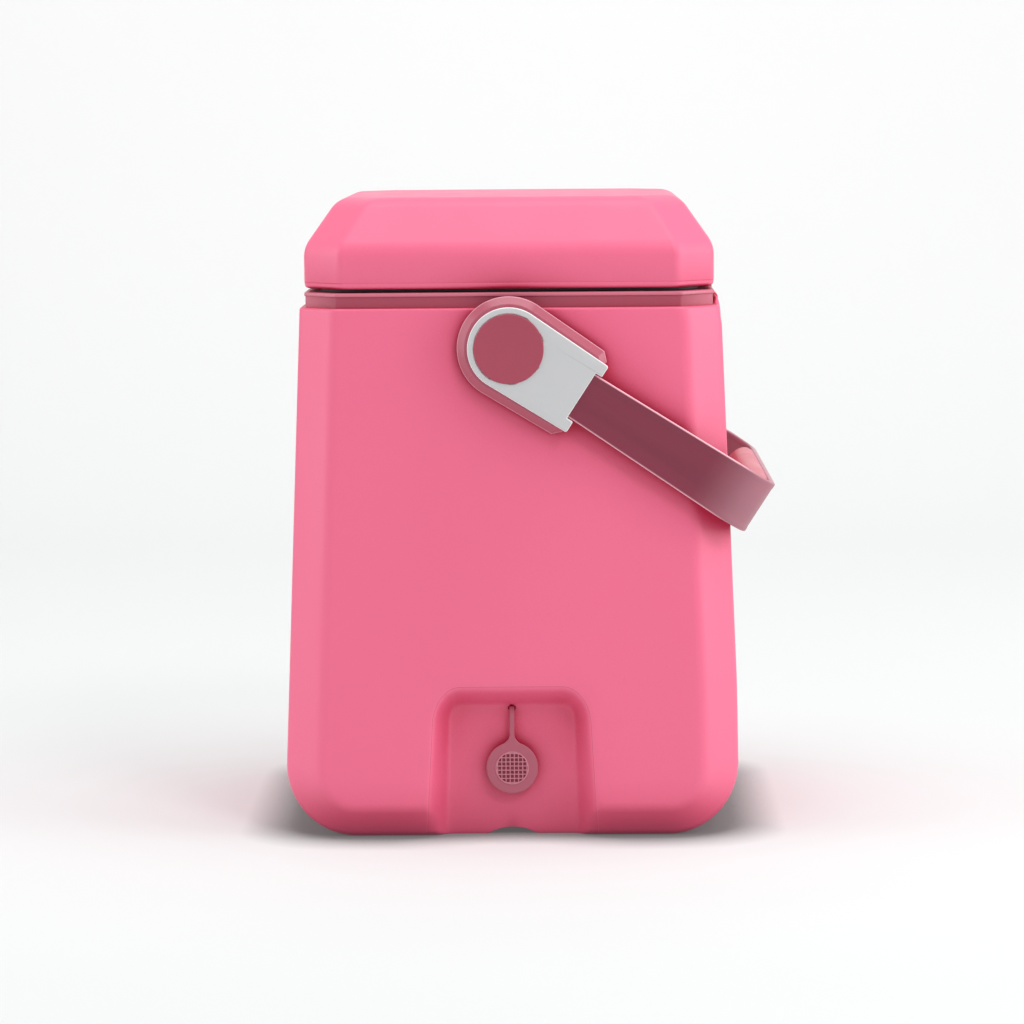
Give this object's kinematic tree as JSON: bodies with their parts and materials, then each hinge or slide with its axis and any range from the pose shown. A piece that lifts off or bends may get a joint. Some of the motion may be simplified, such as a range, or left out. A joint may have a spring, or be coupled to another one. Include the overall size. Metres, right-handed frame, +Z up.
{
  "type": "insulated beverage cooler",
  "caption": "Upright insulated beverage cooler with tapered chamfered walls, hinged lid, swinging strap bail handle and a tethered push-in drain plug.",
  "frame": {"origin": "centre of the flat base, on the floor", "axes": "+Z up; the drain plug faces -Y; the lid's hinge runs along Y on the +X side, where the lowered bail rests"},
  "size_m": [0.3235, 0.3092, 0.4195],
  "materials": {
    "shell_pink": "satin moulded polyethylene with a fine grain",
    "liner_white": "smooth satin",
    "foam": "rigid closed-cell foam, dull",
    "rose_band": "satin",
    "gasket_rubber": "matt",
    "steel": "satin",
    "rose_strap": "satin soft rubber",
    "rose_housing": "semi-gloss",
    "grey_plate": "satin",
    "rose_cap": "fine matt",
    "acetal": "smooth",
    "plug_rubber": "matt soft rubber"
  },
  "bodies": {
    "cooler_body": {"outer_shell": "shell_pink", "inner_liner": "liner_white", "body_foam": "foam", "collar_ring": "rose_band", "hinge_pin": "steel", "pivot_bush_front": "acetal", "pivot_screw_front": "steel", "pivot_nut_plate_front": "steel", "pivot_bush_back": "acetal", "pivot_screw_back": "steel", "pivot_nut_plate_back": "steel", "drain_seal": "gasket_rubber", "drain_fitting": "liner_white", "drain_nut": "liner_white", "plug_tether": "plug_rubber"},
    "lid": {"lid_shell": "shell_pink", "lid_liner": "liner_white", "lid_foam": "foam", "lid_gasket": "gasket_rubber", "hinge_arm": "shell_pink"},
    "bail": {"bail_strap": "rose_strap", "bail_grip": "rose_strap", "grip_screw_front": "steel", "grip_screw_back": "steel", "pivot_housing_front": "rose_housing", "pivot_plate_front": "grey_plate", "pivot_cap_front": "rose_cap", "clamp_screw_upper_front": "steel", "clamp_screw_lower_front": "steel", "pivot_housing_back": "rose_housing", "pivot_plate_back": "grey_plate", "pivot_cap_back": "rose_cap", "clamp_screw_upper_back": "steel", "clamp_screw_lower_back": "steel"},
    "plug": {"drain_plug": "plug_rubber"}
  },
  "joints": [
    {"name": "lid_hinge", "type": "hinge", "parent": "cooler_body", "child": "lid", "pos_m": [0.135, 0, 0.35], "axis": [0, 1, 0], "range_deg": [0, 100]},
    {"name": "bail_swing", "type": "hinge", "parent": "cooler_body", "child": "bail", "pos_m": [0, 0, 0.322], "axis": [0, -1, 0], "range_deg": [0, 246]},
    {"name": "plug_pull", "type": "slide", "parent": "cooler_body", "child": "plug", "axis": [0, -1, 0], "range_m": [0, 0.02]}
  ]
}
